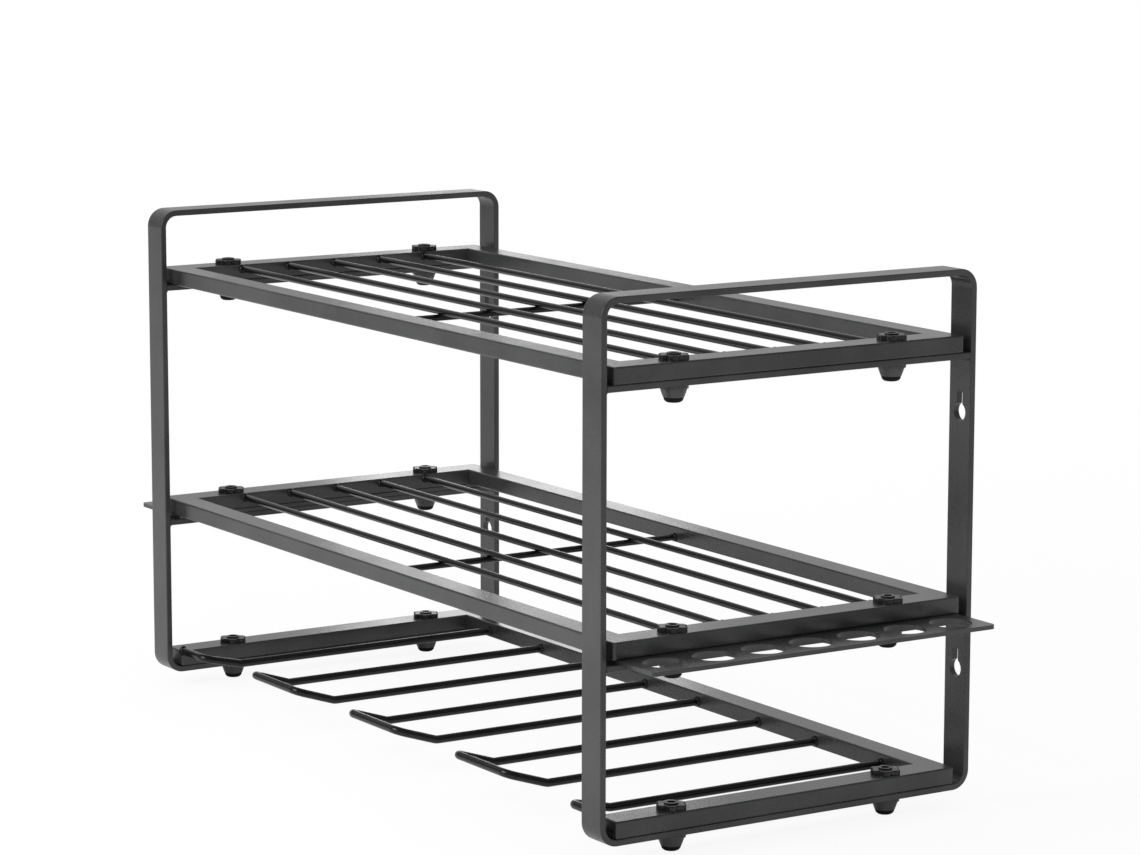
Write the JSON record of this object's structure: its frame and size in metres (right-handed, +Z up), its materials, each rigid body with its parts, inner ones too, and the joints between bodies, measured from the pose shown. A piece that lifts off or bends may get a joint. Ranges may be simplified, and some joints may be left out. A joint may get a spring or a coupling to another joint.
{
  "type": "wall mounted power tool organizer",
  "caption": "Black steel wall rack: strip side frames, wire shelves, a drill hanger with open slots below, and holed side plates for screwdrivers and pliers.",
  "frame": {"origin": "the middle of the four wall keyholes, on the wall plane at the back of the rear posts", "axes": "+X along the wall to the right seen from the room, +Y into the wall, +Z up"},
  "size_m": [0.487, 0.204, 0.251],
  "materials": {
    "frame_paint": "black powder coat with a fine grain, satin",
    "wire_paint": "black powder coat on round wire, satin",
    "plate_paint": "black powder coat on sheet, satin",
    "nut_plastic": "moulded black plastic",
    "knob_plastic": "moulded dark grey plastic, fine texture",
    "foot_rubber": "soft black cap",
    "screw_steel": "black zinc plated"
  },
  "bodies": {
    "root": {"drill_left_end_wire": "wire_paint", "drill_loop_1": "wire_paint", "drill_loop_2": "wire_paint", "drill_loop_3": "wire_paint", "drill_right_end_wire": "wire_paint", "hanger_back_rail": "frame_paint", "hanger_left_end_cap": "frame_paint", "hanger_left_rail": "frame_paint", "hanger_right_end_cap": "frame_paint", "hanger_right_rail": "frame_paint", "left_middle_crossbar": "frame_paint", "left_side_frame": "frame_paint", "left_upper_crossbar": "frame_paint", "lower_hand_nuts": "nut_plastic", "lower_knob_caps": "foot_rubber", "lower_knobs": "knob_plastic", "lower_screws": "screw_steel", "middle_back_rail": "frame_paint", "middle_cross_wire": "wire_paint", "middle_front_rail": "frame_paint", "middle_hand_nuts": "nut_plastic", "middle_knob_caps": "foot_rubber", "middle_knobs": "knob_plastic", "middle_left_rail": "frame_paint", "middle_right_rail": "frame_paint", "middle_screws": "screw_steel", "middle_shelf_wire_1": "wire_paint", "middle_shelf_wire_2": "wire_paint", "middle_shelf_wire_3": "wire_paint", "middle_shelf_wire_4": "wire_paint", "middle_shelf_wire_5": "wire_paint", "pliers_plate": "plate_paint", "right_middle_crossbar": "frame_paint", "right_side_frame": "frame_paint", "right_upper_crossbar": "frame_paint", "screwdriver_plate": "plate_paint", "upper_back_rail": "frame_paint", "upper_cross_wire": "wire_paint", "upper_front_rail": "frame_paint", "upper_hand_nuts": "nut_plastic", "upper_knob_caps": "foot_rubber", "upper_knobs": "knob_plastic", "upper_left_rail": "frame_paint", "upper_right_rail": "frame_paint", "upper_screws": "screw_steel", "upper_shelf_wire_1": "wire_paint", "upper_shelf_wire_2": "wire_paint", "upper_shelf_wire_3": "wire_paint", "upper_shelf_wire_4": "wire_paint", "upper_shelf_wire_5": "wire_paint"}
  },
  "joints": []
}
